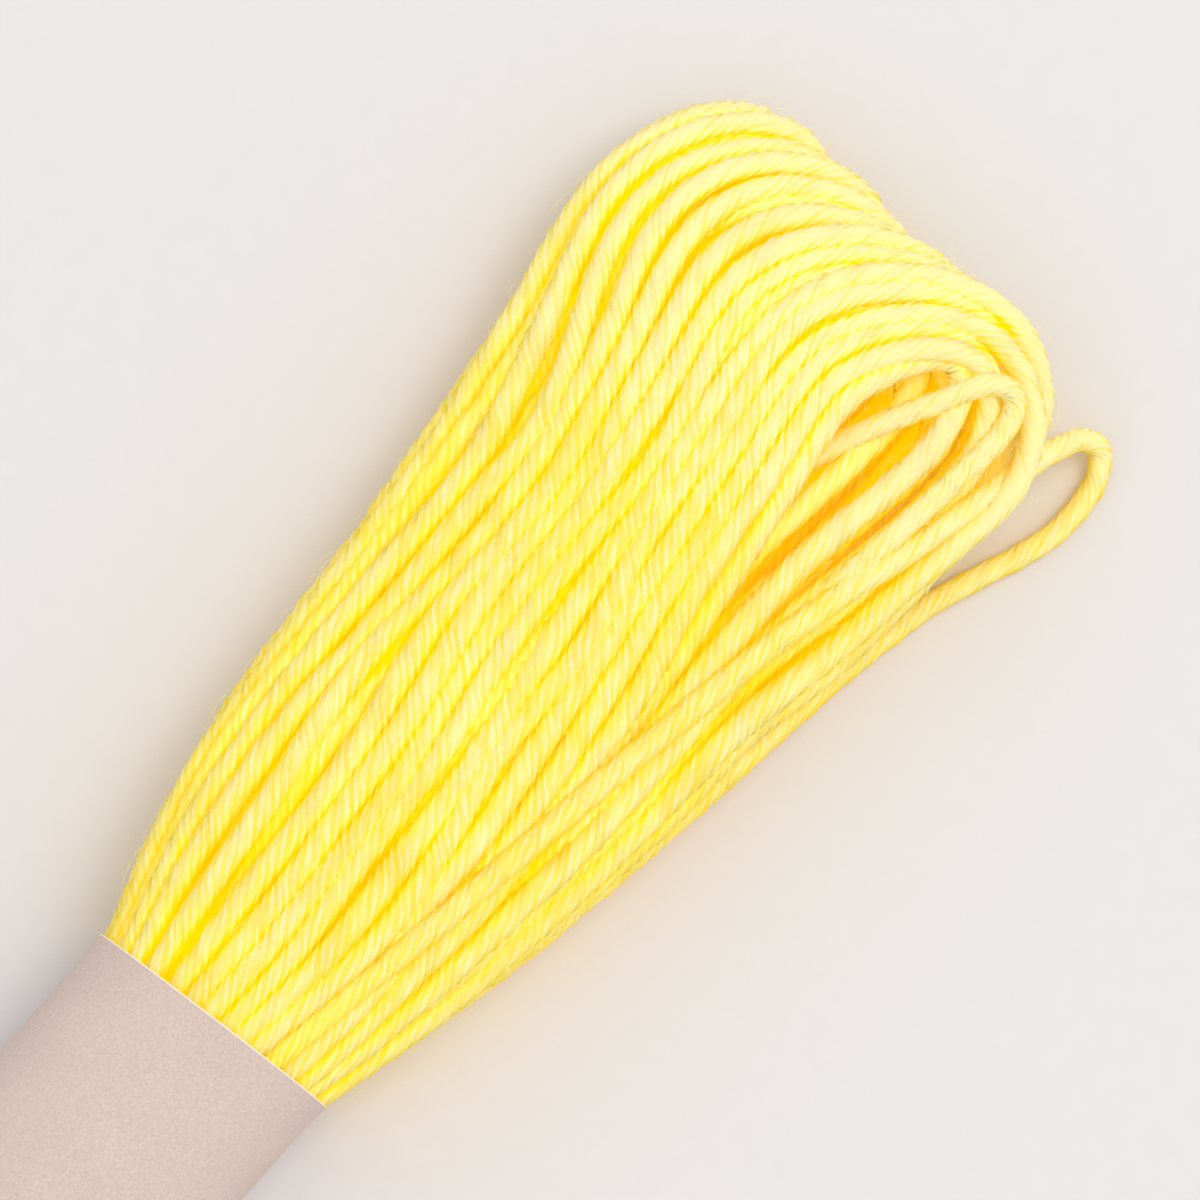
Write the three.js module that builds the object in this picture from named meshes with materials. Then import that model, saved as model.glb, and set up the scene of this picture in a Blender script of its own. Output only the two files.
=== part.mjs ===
// A skein of sashiko thread: one bundle of turns wound into a long loop, a bare paper band
// round its middle, and one slack turn that has slipped out beside the loop's end.
// Millimetres, +Z up, +X along the skein; the origin is the middle of the band's underside.
import * as THREE from 'three';

// Thread and winding
const THREAD = 1.0;
const LANES = 9;
const LAYERS = 6;
const HALF_LENGTH = 62.8;
const HALF_BELT = (LANES * THREAD) / 2;

// Depth of the groove between strands, and how far, how often and how unlike its
// neighbours each strand wanders across the belt
const RIDGE = 0.35;
const WANDER = 0.1;
const WANDER_PER_MM = 0.19;
const WANDER_STEP = 1.7;

// Band of paper round the middle
const BAND_LENGTH = 40;
const BAND_WIDTH = 11.4;
const BAND_HEIGHT = 9.5;
const BAND_WALL = 1.0;
const BAND_STEPS = 48;

// The bundle inside the band: drawn in to clear the wall
const CLEARANCE = 0.3;
const NARROW = BAND_WIDTH / 2 - BAND_WALL - CLEARANCE;
const NARROW_TOP = BAND_HEIGHT - BAND_WALL - CLEARANCE;
const NARROW_BASE = BAND_WALL + CLEARANCE;
const MOUTH = BAND_LENGTH / 2 + CLEARANCE;

// Shape of the bundle's outline: power of the rounded oval, points along one side of it, height
// of its widest place as a share of its depth, and how much of it is flattened underneath
const OVAL_POWER = 2.3;
const OVAL_SAMPLES = 24;
const WAIST = 0.46;
const FLAT = 0.35;

// The bend at each end: the depth of the belt of turns, how far the outer corner of the bend
// stays back from the tip, the shallow dip across the tip (depth, lane and width), how blunt the
// bend is, how much it leans towards the lower run, and its rings
const BELT_DEPTH = 3.7;
const CORNER_DROP = 0.5;
const END_DIP = 0.8;
const DIP_LANE = 0.25;
const DIP_WIDTH = 0.55;
const BLUNT = 0.75;
const HOOK = 0.72;
const BEND_STEPS = 10;

// Width of the closed slit between the two runs of the loop, the points along its face, and
// the share of the eye's opening that is left at the loop's outer edge
const SLIT = 0.4;
const SLIT_POINTS = 8;
const EYE_AT_OUTER_EDGE = 0.2;

// The far half of the skein is a little slimmer than the near one, with a smaller eye
const FAR_WIDTH = 0.96;
const FAR_EYE = 0.6;

// Sections by distance from the middle. left and right are the reach to +Y and -Y, top and
// base are heights, and eye is how far the slit opens at its upper edge. The angles, in
// degrees from +Y over the top, say where the corners of the upper run (outer and inner
// edge) and of the lower run sit on the outline
const INSIDE = { left: NARROW, right: NARROW, top: NARROW_TOP, base: NARROW_BASE, eye: 0 };
const SECTIONS = [
  { at: 0, ...INSIDE, upOut: 8, upIn: 122, lowIn: 186, lowOut: 292 },
  { at: MOUTH, ...INSIDE, upOut: 8, upIn: 122, lowIn: 186, lowOut: 292 },
  { at: 21, left: 5.7, right: 5.7, top: 9.3, base: 0.4, eye: 0, upOut: 8, upIn: 122, lowIn: 186, lowOut: 292 },
  { at: 24, left: 6.7, right: 6.6, top: 9.4, base: 0, eye: 0, upOut: 7, upIn: 119, lowIn: 186, lowOut: 293 },
  { at: 30, left: 8, right: 7.8, top: 9.1, base: 0, eye: 0, upOut: 6, upIn: 108, lowIn: 186, lowOut: 294 },
  { at: 37, left: 8.6, right: 8.8, top: 8.7, base: 0, eye: 0, upOut: 4, upIn: 97, lowIn: 186, lowOut: 296 },
  { at: 44, left: 9.4, right: 9.6, top: 8.3, base: 0, eye: 0.4, upOut: 3, upIn: 89, lowIn: 187, lowOut: 298 },
  { at: 50, left: 10.2, right: 10.3, top: 8, base: 0, eye: 1.4, upOut: 3, upIn: 85, lowIn: 188, lowOut: 299 },
  { at: 55, left: 11.2, right: 10.5, top: 7.9, base: 0, eye: 2.6, upOut: 3, upIn: 83, lowIn: 189, lowOut: 300 },
];
const BEND_START = SECTIONS[SECTIONS.length - 1].at;
const RUN_STATIONS = SECTIONS.map((row) => row.at).filter((at) => at > 0 && at < BEND_START);

// Slack turn: route of its middle line from the loop's side, round its bight, to the other leg
const SLACK_SIDES = 8;
const SLACK_STEPS = 26;
const SLACK_ROUTE = [
  { x: 58.6, y: -10.8, z: 3.1 },
  { x: 59.7, y: -10.8, z: 2.3 },
  { x: 60.8, y: -10.9, z: 1.5 },
  { x: 61.1, y: -11.3, z: 1.0 },
  { x: 60.5, y: -11.9, z: 0.7 },
  { x: 59.4, y: -12.25, z: 0.55 },
  { x: 57.6, y: -12.3, z: 0.55 },
  { x: 56.0, y: -11.9, z: 0.55 },
  { x: 54.4, y: -11.3, z: 0.55 },
  { x: 52.8, y: -10.7, z: 0.55 },
  { x: 51.2, y: -10.2, z: 0.55 },
  { x: 48.0, y: -9.6, z: 0.55 },
  { x: 46.0, y: -9.3, z: 0.6 },
];

const threadFinish = new THREE.MeshStandardMaterial({ color: 0xfbe96b, roughness: 0.85, metalness: 0 });
const paperFinish = new THREE.MeshStandardMaterial({ color: 0xdcc3b6, roughness: 0.9, metalness: 0 });

// The row of the section table at a distance from the middle, between its two neighbours
function sectionAt(distance) {
  const last = SECTIONS.length - 1;
  const clamped = Math.min(distance, SECTIONS[last].at);
  const next = Math.max(1, SECTIONS.findIndex((row) => row.at >= clamped));
  const before = SECTIONS[next - 1];
  const after = SECTIONS[next];
  const share = (clamped - before.at) / (after.at - before.at);
  const section = {};
  for (const name of Object.keys(before)) {
    section[name] = THREE.MathUtils.lerp(before[name], after[name], share);
  }
  return section;
}

// A point of the rounded oval outline of a section, flat where it rests
function outlinePoint(section, angle) {
  const across = Math.cos(angle);
  const upward = Math.sin(angle);
  const reach = across > 0 ? section.left : section.right;
  const waist = section.base + WAIST * (section.top - section.base);
  const rise = upward > 0 ? section.top - waist : waist - section.base + FLAT;
  const y = reach * Math.sign(across) * Math.abs(across) ** (2 / OVAL_POWER);
  const z = waist + rise * Math.sign(upward) * Math.abs(upward) ** (2 / OVAL_POWER);
  return new THREE.Vector2(y, Math.max(z, section.base));
}

// One side of the bundle: a stretch of the outline, measured by its own length
function outlineSide(section, fromDegrees, toDegrees) {
  const samples = [];
  for (let i = 0; i <= OVAL_SAMPLES; i += 1) {
    const degrees = THREE.MathUtils.lerp(fromDegrees, toDegrees, i / OVAL_SAMPLES);
    samples.push(outlinePoint(section, THREE.MathUtils.degToRad(degrees)));
  }
  return new THREE.SplineCurve(samples);
}

// The four sides of a section: the outer face of the upper run and of the lower run, and
// the two edges of the loop that join them
function sectionSides(section) {
  const full = 360;
  return {
    upper: outlineSide(section, section.upOut, section.upIn),
    lower: outlineSide(section, section.lowOut, section.lowIn),
    outerEdge: outlineSide(section, section.lowOut, section.upOut + full),
    innerEdge: outlineSide(section, section.lowIn, section.upIn),
  };
}

// A point inside a section, blended from its four sides: lane runs from -1 to 1 across the
// belt of turns, height from -1 under the lower run, over 0 in the slit, to 1 on the upper run
function bundlePoint(sides, lane, height) {
  const across = (lane + 1) / 2;
  const up = (height + 1) / 2;
  const point = new THREE.Vector2();
  point.addScaledVector(sides.lower.getPointAt(across), 1 - up);
  point.addScaledVector(sides.upper.getPointAt(across), up);
  point.addScaledVector(sides.outerEdge.getPointAt(up), 1 - across);
  point.addScaledVector(sides.innerEdge.getPointAt(up), across);
  point.addScaledVector(sides.lower.getPointAt(0), -(1 - across) * (1 - up));
  point.addScaledVector(sides.lower.getPointAt(1), -across * (1 - up));
  point.addScaledVector(sides.upper.getPointAt(0), -(1 - across) * up);
  point.addScaledVector(sides.upper.getPointAt(1), -across * up);
  return point;
}

// The belt's own section, once round: its outer face in lanes, its inner edge in layers, its
// smooth face along the slit, and its outer edge in layers. depth is 0 outside and 1 at the slit
function beltSection() {
  const corners = [];
  const groove = RIDGE / BELT_DEPTH;
  const sideGroove = RIDGE / HALF_BELT;
  for (let i = 0; i <= 2 * LANES; i += 1) {
    const onCrest = i % 2 === 1;
    corners.push({ lane: -1 + i / LANES, depth: onCrest ? 0 : groove, strand: Math.floor(i / 2) });
  }
  for (let i = 1; i <= 2 * LAYERS - 1; i += 1) {
    const onCrest = i % 2 === 1;
    corners.push({ lane: onCrest ? 1 : 1 - sideGroove, depth: i / (2 * LAYERS), strand: LANES + i });
  }
  for (let i = 0; i < SLIT_POINTS; i += 1) {
    corners.push({ lane: 1 - (2 * i) / (SLIT_POINTS - 1), depth: 1, strand: 0 });
  }
  for (let i = 2 * LAYERS - 1; i >= 1; i -= 1) {
    const onCrest = i % 2 === 1;
    corners.push({ lane: onCrest ? -1 : -1 + sideGroove, depth: i / (2 * LAYERS), strand: -i });
  }
  return corners;
}

// Height of a corner of the belt in its section: the slit is widest along the loop's upper edge
function beltHeight(section, corner, eyeShare) {
  const share = THREE.MathUtils.lerp(EYE_AT_OUTER_EDGE, 1, (corner.lane + 1) / 2);
  const opening = SLIT + section.eye * eyeShare * share;
  const halfDepth = (section.top - section.base) / 2;
  const slit = opening / 2 / halfDepth;
  return 1 - corner.depth * (1 - slit);
}

// A small wander of each lane along the skein
function wander(corner, x) {
  const phase = WANDER_STEP * corner.strand + WANDER_PER_MM * x;
  return corner.depth < 1 ? (WANDER / HALF_BELT) * Math.sin(phase) : 0;
}

// One ring of the belt: on a straight run the turn is 0 or pi, and round an end it goes between
function beltRing(corners, end, distance, turn) {
  const section = sectionAt(distance);
  const far = end < 0;
  section.left *= far ? FAR_WIDTH : 1;
  section.right *= far ? FAR_WIDTH : 1;
  const sides = sectionSides(section);
  const swing = 1 - ((1 - Math.cos(turn)) / 2) ** HOOK;
  const stretch = Math.abs(Math.sin(turn)) ** BLUNT;
  return corners.map((corner) => {
    const height = beltHeight(section, corner, far ? FAR_EYE : 1);
    const lane = THREE.MathUtils.clamp(corner.lane + wander(corner, end * distance), -1, 1);
    const upper = bundlePoint(sides, lane, height);
    const lower = bundlePoint(sides, lane, -height);
    const drop = lane < 0 ? CORNER_DROP * lane ** 4 : 0;
    const dip = END_DIP * Math.exp(-(((lane - DIP_LANE) / DIP_WIDTH) ** 2));
    const tip = HALF_LENGTH - drop - dip - BELT_DEPTH * corner.depth;
    const x = THREE.MathUtils.lerp(distance, tip, stretch);
    const across = THREE.MathUtils.lerp(lower.x, upper.x, swing);
    const up = THREE.MathUtils.lerp(lower.y, upper.y, swing);
    return new THREE.Vector3(end * x, across, Math.max(up, section.base));
  });
}

// Rings in order once round the loop: along the upper run, round the near end, back along the
// lower run and round the far end
function beltRings() {
  const corners = beltSection();
  const rings = [];
  const outward = [...RUN_STATIONS];
  const inward = [...RUN_STATIONS].reverse();
  const addRun = (end, distances, turn) => {
    distances.forEach((distance) => rings.push(beltRing(corners, end, distance, turn)));
  };
  const addBend = (end, fromTurn) => {
    for (let i = 0; i <= BEND_STEPS; i += 1) {
      const turn = Math.abs(fromTurn - (Math.PI * i) / BEND_STEPS);
      rings.push(beltRing(corners, end, BEND_START, turn));
    }
  };
  addRun(1, outward, 0);
  addBend(1, 0);
  addRun(1, inward, Math.PI);
  addRun(-1, outward, Math.PI);
  addBend(-1, Math.PI);
  addRun(-1, inward, 0);
  return rings;
}

// Closed skin over rings that follow each other round a loop
function loopGeometry(rings) {
  const count = rings[0].length;
  const positions = [];
  const faces = [];
  for (const ring of rings) {
    for (const point of ring) {
      positions.push(point.x, point.y, point.z);
    }
  }
  for (let r = 0; r < rings.length; r += 1) {
    const nextRing = (r + 1) % rings.length;
    for (let c = 0; c < count; c += 1) {
      const nextCorner = (c + 1) % count;
      const here = r * count + c;
      const beside = r * count + nextCorner;
      const ahead = nextRing * count + c;
      const across = nextRing * count + nextCorner;
      faces.push(here, across, ahead, here, beside, across);
    }
  }
  const geometry = new THREE.BufferGeometry();
  geometry.setAttribute('position', new THREE.Float32BufferAttribute(positions, 3));
  geometry.setIndex(faces);
  geometry.computeVertexNormals();
  return geometry;
}

function makeHank() {
  const mesh = new THREE.Mesh(loopGeometry(beltRings()), threadFinish);
  mesh.name = 'hank';
  return mesh;
}

// Closed line of the band's section, drawn in by the given wall
function bandLine(inset) {
  const section = {
    left: BAND_WIDTH / 2 - inset,
    right: BAND_WIDTH / 2 - inset,
    top: BAND_HEIGHT - inset,
    base: inset,
  };
  const points = [];
  for (let i = 0; i < BAND_STEPS; i += 1) {
    points.push(outlinePoint(section, (2 * Math.PI * i) / BAND_STEPS));
  }
  return points;
}

// The band: its oval section carried straight along the skein
function makeBand() {
  const shape = new THREE.Shape(bandLine(0));
  shape.holes.push(new THREE.Path(bandLine(BAND_WALL)));
  const geometry = new THREE.ExtrudeGeometry(shape, { depth: BAND_LENGTH, bevelEnabled: false, steps: 1 });
  const mesh = new THREE.Mesh(geometry, paperFinish);
  mesh.name = 'paper_band';
  mesh.setRotationFromAxisAngle(new THREE.Vector3(1, 1, 1).normalize(), (2 * Math.PI) / 3);
  mesh.position.x = -BAND_LENGTH / 2;
  return mesh;
}

// The slack turn: a round thread along its route
function makeSlackTurn() {
  const section = new THREE.Shape();
  for (let i = 0; i < SLACK_SIDES; i += 1) {
    const angle = (2 * Math.PI * (i + 0.5)) / SLACK_SIDES;
    const x = (THREAD / 2) * Math.cos(angle);
    const y = (THREAD / 2) * Math.sin(angle);
    if (i === 0) {
      section.moveTo(x, y);
    } else {
      section.lineTo(x, y);
    }
  }
  section.closePath();
  const route = new THREE.CatmullRomCurve3(SLACK_ROUTE.map((p) => new THREE.Vector3(p.x, p.y, p.z)));
  const geometry = new THREE.ExtrudeGeometry(section, { steps: SLACK_STEPS, extrudePath: route });
  const mesh = new THREE.Mesh(geometry, threadFinish);
  mesh.name = 'slack_turn';
  return mesh;
}

const skein = new THREE.Group();
skein.add(makeHank(), makeBand(), makeSlackTurn());

export default skein;
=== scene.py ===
"""Skein of sashiko thread: plied turns wound into a loop, one slack turn, a bare paper band.

Tables and routes are in millimetres in the part's own frame: +X along the skein, +Z up.
Meshes are in metres.
"""
import functools

import bpy
import numpy as np
from bpy.props import FloatProperty, FloatVectorProperty, IntProperty, PointerProperty
from mathutils import Matrix, Vector


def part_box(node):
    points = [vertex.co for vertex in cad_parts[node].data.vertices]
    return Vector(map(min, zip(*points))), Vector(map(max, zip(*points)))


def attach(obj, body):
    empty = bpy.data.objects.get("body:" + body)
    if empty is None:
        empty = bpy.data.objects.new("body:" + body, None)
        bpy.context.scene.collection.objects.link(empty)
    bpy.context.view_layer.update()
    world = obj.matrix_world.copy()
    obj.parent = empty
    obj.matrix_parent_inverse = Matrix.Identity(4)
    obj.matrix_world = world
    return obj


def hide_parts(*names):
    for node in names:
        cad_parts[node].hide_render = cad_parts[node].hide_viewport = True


bl_info = {
    "name": "Sashiko Skein",
    "version": (1, 0, 0),
    "blender": (4, 5, 0),
    "location": "View3D > Sidebar > Skein",
    "description": "Builds a skein of plied thread with its paper band and a plain stage",
    "category": "Object",
}

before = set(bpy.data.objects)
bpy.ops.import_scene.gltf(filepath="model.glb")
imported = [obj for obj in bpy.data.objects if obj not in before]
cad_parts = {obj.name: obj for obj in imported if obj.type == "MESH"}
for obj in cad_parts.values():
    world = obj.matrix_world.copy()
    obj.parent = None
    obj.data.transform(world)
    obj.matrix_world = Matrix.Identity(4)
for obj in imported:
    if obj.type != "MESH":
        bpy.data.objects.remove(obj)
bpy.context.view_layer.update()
MM = 0.001

# The wound bundle, in millimetres
HALF_LENGTH = 62.7  # from the middle to the tip of the outermost turns
RUN_END = 55.0  # where the straight runs end and the bends start
BELT_DEPTH = 3.9  # from the outermost tip to the inmost
CORNER_DROP = 0.5  # how far the tip falls back at the belt's outer edge
END_DIP = 0.8  # hollow across the tip
SLIT = 0.1  # gap between the two runs
FLAT = 0.35  # how much of the oval the surface below cuts off
FREE_RUN = 9.0  # strands settle less and less over this length before a bend
FAR_FROM, FAR_OVER = 20.0, 5.0  # where the far half turns slimmer, and over what length
GRIP_FROM, GRIP_OVER = 18.0, 10.0  # where the band's grip eases, and over what length

# Shares of the bundle, and powers of its curves
DIP_LANE, DIP_WIDTH = 0.25, 0.55  # middle and width of the hollow, in lanes from -1 to 1
BLUNT, BLUNT_CORE = 0.74, 1.05  # powers of the sine round a bend, at the face and in the core
HOOK = 0.72  # a bend leans to the lower run where this power is below 1
EYE_POWER = 4  # how sharply the slit opens into the eye across the lanes
OVAL_POWER = 2.3  # of the bundle's outline
WAIST = 0.46  # height of the widest place
STAGGER = 0.22  # lanes that every other layer is shifted by, each way
TIP_UNEVEN = 0.3  # most that a tip falls short, in millimetres
CORE_UNEVEN = (-0.3, 0.8)  # least and most that is added to it in the core
FAR_WIDTH, FAR_EYE = 0.96, 0.6  # the far half against the near one
BELT_ACROSS = (0.0, -0.9, 0.43)  # direction across the belt of turns

# How the turns settle
BEND_STEPS = 24  # stations round a bend
SETTLE_STEPS, QUICK_STEPS = 80, 16
SQUEEZE = 0.81  # share of its radius that a strand keeps
PUSH = 0.32  # share of an overlap that one step takes out
ABREAST = 0.8  # strands that are further apart along the run don't touch
BEND_FREE = 0.06  # share of a move that is left in a bend
GRIPPED = 0.15  # share of its wander that a strand keeps in the band
SLACK_NEAR, SLACK_CLEAR = 4.0, 0.97  # where the slack turn is felt, and the space it keeps
LONG_SMOOTH, LAST_SMOOTH = 24, 4  # rounds of smoothing in the first step, and at the end
RELAX = 0.995  # share of its move that a strand keeps from step to step
DRIFT = 1.3  # how far neighbours' waves are out of step

# Strays across the belt and through it, first the early and then the late: their size as a share
# of the wander, their waves once round a turn, and the share that is each strand's own
STRAYS = (
    (1.0, range(2, 15), 0.4),
    (0.5, range(2, 15), 0.6),
    (0.2, range(8, 28), 1.0),
    (0.3, range(8, 28), 1.0),
)

# Shelter between strands, which the thread is painted with as shade: its reach and the length over
# which it falls off in millimetres, its rate, the directions that it is kept for, and the least that
# strands of the first, second and inner shells have, which only adds painted shade
SHELTER_REACH, SHELTER_FADE, SHELTER_RATE = 1.75, 0.75, 1.4
SHELTER_BINS = 16
BURIED = (0.0, 0.4, 0.7)

# Rings inside the band are hidden, so they are further apart
HIDDEN_WITHIN, HIDDEN_STEP = 18.5, 3.0

# Unevenness of the twist and of the plies' thickness, as waves once round a turn
WOBBLE, WOBBLE_WAVES = 0.13, (23, 47, 83)
SWELL, SWELL_WAVES = 0.06, 29
UNDER_BELOW = 0.7  # a face that looks up by less than this gets painted shade on the under side
STRAND_APART = 17.3  # millimetres of pattern between two strands, so that no two look alike

# Loose fibres: thickness at each ring, spread of their length and drift, least and most arch
FIBRE_TAPER = (0.2, 1, 1, 1, 0.8, 0.2)
FIBRE_SPAN, FIBRE_DRIFT = 1.4, 0.8
FIBRE_ARCH = (0.05, 0.42)
OPEN_BELOW = 0.3  # shelter below which a fibre can stand off

# Sections by distance from the middle: reach to +Y and -Y, heights, opening of the eye, the
# angles in degrees from +Y over the top where the corners of the two runs sit on the
# outline, and the radius of a strand, which the band squeezes
SECTION_COLUMNS = (
    "at", "left", "right", "top", "base", "eye", "up_out", "up_in", "low_in", "low_out", "strand",
)
SECTIONS = np.array([
    (0.0, 5.15, 5.40, 9.25, 0.45, 0.0, 8, 123, 186, 292, 0.51),
    (19.6, 5.15, 5.40, 9.25, 0.45, 0.0, 8, 123, 186, 292, 0.51),
    (21.0, 5.65, 5.80, 9.45, 0.15, 0.0, 8, 122, 186, 292, 0.53),
    (24.0, 6.75, 6.55, 9.50, 0.00, 0.0, 7, 119, 186, 293, 0.565),
    (30.0, 8.05, 7.85, 9.15, 0.00, 0.0, 6, 108, 186, 294, 0.60),
    (37.0, 8.65, 8.85, 8.70, 0.00, 0.0, 4, 97, 186, 296, 0.615),
    (44.0, 9.45, 9.55, 8.30, 0.00, 0.2, 3, 89, 187, 298, 0.615),
    (50.0, 10.30, 10.25, 8.00, 0.00, 1.2, 3, 85, 188, 299, 0.58),
    (55.0, 11.25, 10.45, 7.90, 0.00, 2.0, 3, 83, 189, 300, 0.55),
])

# Route of the slack turn's middle line: out along the bundle's edge, round its bight on the
# surface below, and back over the edge towards the groove
SLACK_ROUTE = np.array([
    (17.0, -4.8, 3.6), (20.0, -5.05, 3.5), (24.0, -6.0, 3.4), (30.0, -7.3, 3.3), (36.0, -8.2, 2.9),
    (41.0, -8.8, 2.2), (45.0, -9.2, 1.4), (48.0, -9.6, 0.8), (51.2, -10.2, 0.55),
    (52.8, -10.7, 0.52), (54.4, -11.3, 0.52), (56.0, -11.9, 0.52), (57.6, -12.3, 0.52),
    (59.4, -12.25, 0.55), (60.5, -11.9, 0.7), (61.1, -11.3, 1.0), (60.75, -10.6, 1.7),
    (59.5, -10.1, 2.9), (57.6, -9.7, 4.2), (56.0, -9.4, 4.9), (53.0, -8.8, 5.6),
    (48.0, -7.5, 6.4), (42.0, -6.4, 6.95), (36.0, -5.5, 7.45), (30.0, -4.7, 7.9),
    (24.0, -3.8, 8.25), (20.0, -3.2, 8.2), (17.0, -3.0, 8.0),
])

# Route of the inmost turn, which has dropped across the eye: from under the upper run, over the
# lip of the lower run near the tip, and back down between its strands
DROPPED_ROUTE = np.array([
    (51.8, -2.9, 4.9), (53.3, -3.5, 5.4), (54.9, -4.2, 5.95), (56.2, -4.9, 6.3), (57.4, -5.6, 6.65),
    (58.5, -6.15, 6.9), (59.3, -6.7, 6.85), (59.65, -7.4, 6.6), (59.2, -8.05, 6.35), (57.8, -8.3, 6.3),
    (55.0, -8.05, 6.2), (53.0, -7.85, 6.15), (51.0, -7.6, 6.1), (49.0, -7.3, 5.8), (47.0, -7.0, 5.3),
])

# Painted shade of these two turns, as routed_piece takes it: shelter along the skein, and shade from
# the strands below on the under side
SLACK_COVER, SLACK_NESTED = (30, 20, 0.1, 0.6), 0.9
DROPPED_COVER, DROPPED_NESTED = (50, 4, 0.05, 0.6), 0.75
NESTED_BELOW = 0.4  # painted shade from the strands below falls on what looks up by less than this
ROUTED_SLIM = 0.9  # against a strand in the bundle

# Sides and spacing of the rings of strands that lie deeper
SECOND_RINGS, CORE_RINGS = (10, 0.55), (6, 1.2)

# The paper band, from its solid; the paper is drawn in from the solid's left and right
BAND_LOW, BAND_HIGH = (np.array(corner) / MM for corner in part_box("paper_band"))
DRAWN_LEFT, DRAWN_RIGHT = 0.3, 0.05
SEAM_ANGLES = (-115, 245)  # the strip starts and ends underneath
TUCK_OVER, TUCK_SHARE = 1.5, 1.15  # length of the step at the overlap, and its depth in thicknesses
FLARE, FLARE_FROM, FLARE_OVER = 0.10, 17.5, 2.5
BAND_LIFT = 0.02  # clear of the surface below

# Noises, in cells: along and round the thread by the millimetre and the turn, others by the metre
FIBRE_CELLS = (0.9, 34.0)
PLY_CELLS, STRAND_CELLS, PATCH_CELLS = 0.5, 0.15, 300.0
CLOUD_CELLS, PAPER_CELLS, FLOOR_CELLS = 260.0, 9000.0, 900.0

# Finishes, in metres: the height over which the stronger painted glow and the painted light on the fanned
# end grow from the surface below, where painted light turns the fanned end paler, the height of the grain,
# and the bare edge of the cut paper with its blend
LIT_ABOVE = 0.002
LIT_END_FROM, LIT_END_OVER = 0.046, 0.012
GRAIN_HEIGHT = 0.00004
CUT_WIDTH, CUT_BLEND = 0.00007, 0.00004
GAP_SHADE_FROM, GAP_SHADE_SHARP = 0.42, 3.2  # shelter from which the gaps between strands get painted shade, and how sharply
GLOW_FROM = 0.15  # shelter from which the painted glow grows, standing in for light that comes through the thread

# Stage: directions of the picture on the floor, what the camera looks at in millimetres, and the
# lamp's place, aim and side in metres
PICTURE_RIGHT, PICTURE_UP = Vector((0.660, -0.751, 0)), Vector((0.751, 0.660, 0))
LOOK_AT = Vector((42.8, -0.5, 4.0))
LAMP_AT, LAMP_AIM, LAMP_SIDE = Vector((0.28, -0.14, 0.62)), Vector((0.045, 0, 0.004)), 0.35
FLOOR_REACH, FLOOR_TOP = 1500.0, -0.02  # in millimetres


def length_setting(name, description, default):
    return FloatProperty(name=name, description=description, default=default, unit="LENGTH")


def angle_setting(name, description, degrees):
    return FloatProperty(name=name, description=description, default=np.radians(degrees), unit="ROTATION")


def colour_setting(name, description, *default):
    return FloatVectorProperty(
        name=name, description=description, default=default, subtype="COLOR", size=3, min=0, max=1,
    )


class SkeinThreadSettings(bpy.types.PropertyGroup):
    """Thread, winding and colour of the turns."""

    plies: IntProperty(name="Plies", description="Plies twisted together", default=8, min=3)
    lead: length_setting("Ply lead", "Length of one full twist of the plies", 0.0051)
    groove: FloatProperty(
        name="Ply groove", description="Depth of the groove between plies as a share of the radius",
        default=0.15, subtype="FACTOR",
    )
    lanes: IntProperty(name="Lanes", description="Turns side by side across the belt", default=9)
    layers: IntProperty(name="Layers", description="Turns on top of each other in the belt", default=6)
    wander: length_setting("Wander", "How far a strand strays from its lane", 0.0009)
    seed: IntProperty(name="Seed", description="Start of the random unevenness", default=11)
    fibres: IntProperty(name="Stray fibres", description="Loose fibres tried over all turns", default=17000)
    fine: length_setting("Fibre", "Radius of a loose fibre", 0.000007)
    # Painted highlight: the pale colour painted on lit crests and on the lit fanned end
    pale: colour_setting("Pale yellow", "Colour of the lit crests", 0.88, 0.81, 0.40)
    lemon: colour_setting("Lemon yellow", "Colour of the thread's plain face", 0.85, 0.735, 0.15)
    # Painted shade: the colour painted in the grooves between plies, on the under side and where strands
    # shelter each other
    painted_shade_gold: colour_setting("Golden yellow", "Colour between the plies", 0.95, 0.66, 0.005)
    # Painted shade: the colour painted in the most sheltered gaps between strands
    painted_gap_shade: colour_setting("Deep yellow", "Colour in the gaps between strands", 0.95, 0.57, 0.0)
    # Painted glow: emission that stands in for light coming through the thread
    glow: colour_setting("Glow", "Light that comes through the thread", 0.50, 0.305, 0.0)


class SkeinBandSettings(bpy.types.PropertyGroup):
    """Paper of the band."""

    thickness: length_setting("Paper", "Thickness of the paper", 0.0002)
    overlap: length_setting("Overlap", "Width of the glued overlap", 0.007)
    skew: angle_setting("Skew", "Slant of the cut ends across the skein", 4.0)
    beige: colour_setting("Paper colour", "Face of the paper", 0.63, 0.50, 0.45)
    cut: colour_setting("Cut edge", "Bare fibres at the cut edge", 0.93, 0.86, 0.74)


class SkeinStageSettings(bpy.types.PropertyGroup):
    """Floor, light and camera."""

    floor: colour_setting("Floor", "Plain pale floor", 0.72, 0.71, 0.725)
    distance: length_setting("Camera distance", "From the lens to the skein", 0.30)
    lean: angle_setting("Camera lean", "Lean of the view from straight down", 7.0)
    view_width: length_setting("View width", "Width of the picture at the skein", 0.048)
    key: FloatProperty(name="Key light", description="Power of the soft light", default=1.6, unit="POWER")
    fill: FloatProperty(name="Fill", description="Strength of the even light all round", default=0.87)


# Section geometry


def unit(vectors):
    """Vectors divided by their own length."""
    return vectors / np.maximum(np.linalg.norm(vectors, axis=-1, keepdims=True), 1e-9)


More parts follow.
